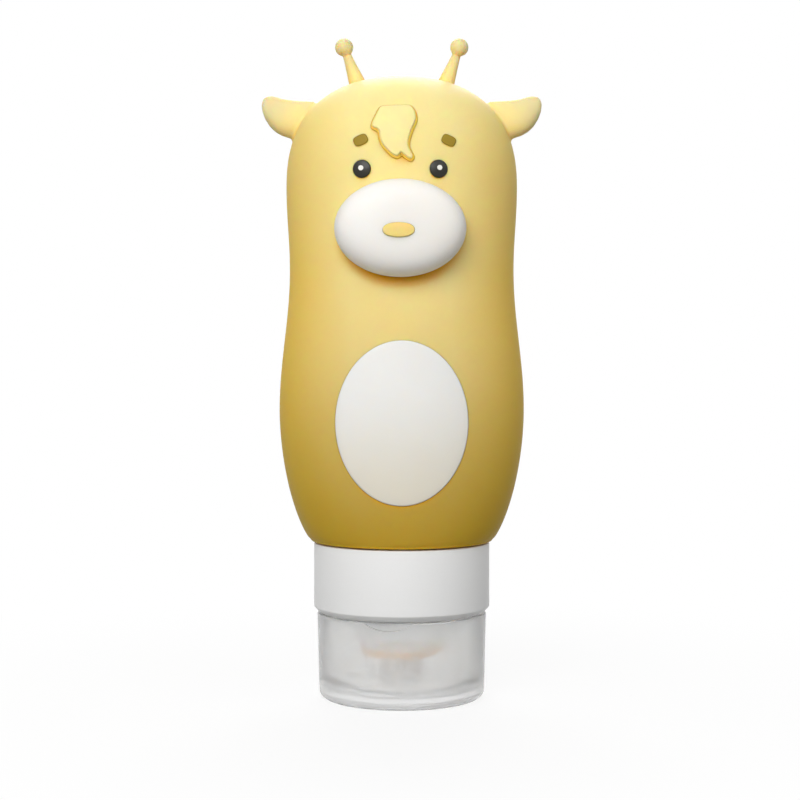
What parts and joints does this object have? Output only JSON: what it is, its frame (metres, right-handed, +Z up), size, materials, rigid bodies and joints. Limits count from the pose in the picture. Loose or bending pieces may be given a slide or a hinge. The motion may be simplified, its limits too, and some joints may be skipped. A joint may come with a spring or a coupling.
{
  "type": "silicone travel bottle",
  "caption": "Refillable squeeze bottle in soft silicone, shaped as a small giraffe, standing on a screw cap with a flip-top lid and a slit valve.",
  "frame": {"origin": "centre of the lid's flat end face, on which the bottle stands", "axes": "+Z up from the lid to the crown of the head, -Y out of the face, +X to the right of a viewer who looks at the face"},
  "size_m": [0.0574, 0.048, 0.1349],
  "materials": {
    "yellow_silicone": "matte",
    "white_silicone": "matte",
    "orange_silicone": "matte",
    "pale_silicone": "matte",
    "black_silicone": "satin",
    "brown_silicone": "matte",
    "clear_silicone": "satin",
    "valve_silicone": "satin",
    "white_polypropylene": "satin",
    "frosted_polypropylene": "frosted, translucent"
  },
  "bodies": {
    "bottle": {"bottle_body": "yellow_silicone", "muzzle": "white_silicone", "nose": "orange_silicone", "forelock": "pale_silicone", "belly_patch": "white_silicone", "eye_left": "black_silicone", "eye_right": "black_silicone", "brow_left": "brown_silicone", "brow_right": "brown_silicone", "neck_ring": "white_polypropylene"},
    "seal": {"gasket": "clear_silicone"},
    "cap": {"screw_collar": "white_polypropylene", "drip_valve": "valve_silicone"},
    "lid": {"flip_lid": "frosted_polypropylene"}
  },
  "joints": [
    {"name": "collar_lift", "type": "slide", "parent": "bottle", "child": "seal", "axis": [0, 0, -1], "range_m": [0, 0.0038]},
    {"name": "collar_turn", "type": "hinge", "parent": "seal", "child": "cap", "pos_m": [0, 0, 0.0248], "axis": [0, 0, -1], "range_deg": [0, 450]},
    {"name": "lid_flip", "type": "hinge", "parent": "cap", "child": "lid", "pos_m": [0.00297, 0.01877, 0.01755], "axis": [0.9877, -0.1564, 0], "range_deg": [0, 140]}
  ],
  "couplings": [
    {"joint": "collar_lift", "follows": "collar_turn", "m_per_rad": 0.00047746}
  ]
}
